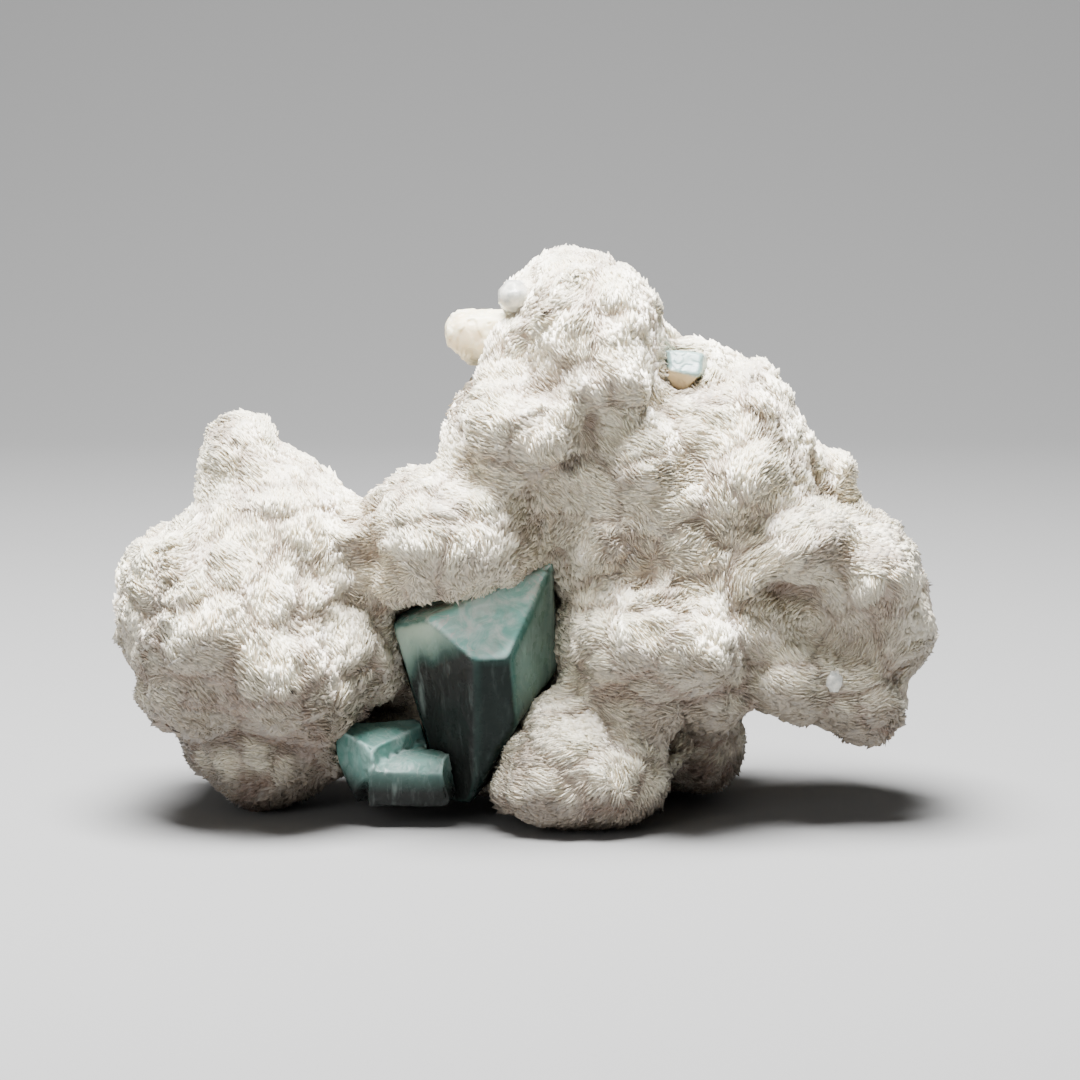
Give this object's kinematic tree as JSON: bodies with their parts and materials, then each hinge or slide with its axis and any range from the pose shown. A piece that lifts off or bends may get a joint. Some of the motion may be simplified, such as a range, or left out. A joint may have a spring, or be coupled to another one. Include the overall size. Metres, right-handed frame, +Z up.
{
  "type": "amazonite crystal specimen",
  "caption": "Mineral specimen: blue-green amazonite crystals rooted in a lobed white mass of bladed cleavelandite, standing on the worn flats of its lowest lobes.",
  "frame": {"origin": "middle of the specimen's box in plan, at the surface that it stands on", "axes": "+X along the longest side, to the right seen from the front; +Y to the back; +Z up"},
  "size_m": [0.1588, 0.0783, 0.1102],
  "materials": {
    "white_albite": "satin, pearly blades, dusky pink in the deep gaps",
    "amazonite": "waxy to glassy, slightly see-through at the edges, fine white streaks",
    "amazonite_pale": "waxy, pale blue above and cream below",
    "feldspar_cream": "smooth, waxy"
  },
  "bodies": {
    "root": {"cleavelandite_matrix": "white_albite", "amazonite_crystal_large": "amazonite", "amazonite_crystals_small": "amazonite", "amazonite_chip_upper": "amazonite_pale", "feldspar_knob_cream": "feldspar_cream"}
  },
  "joints": []
}
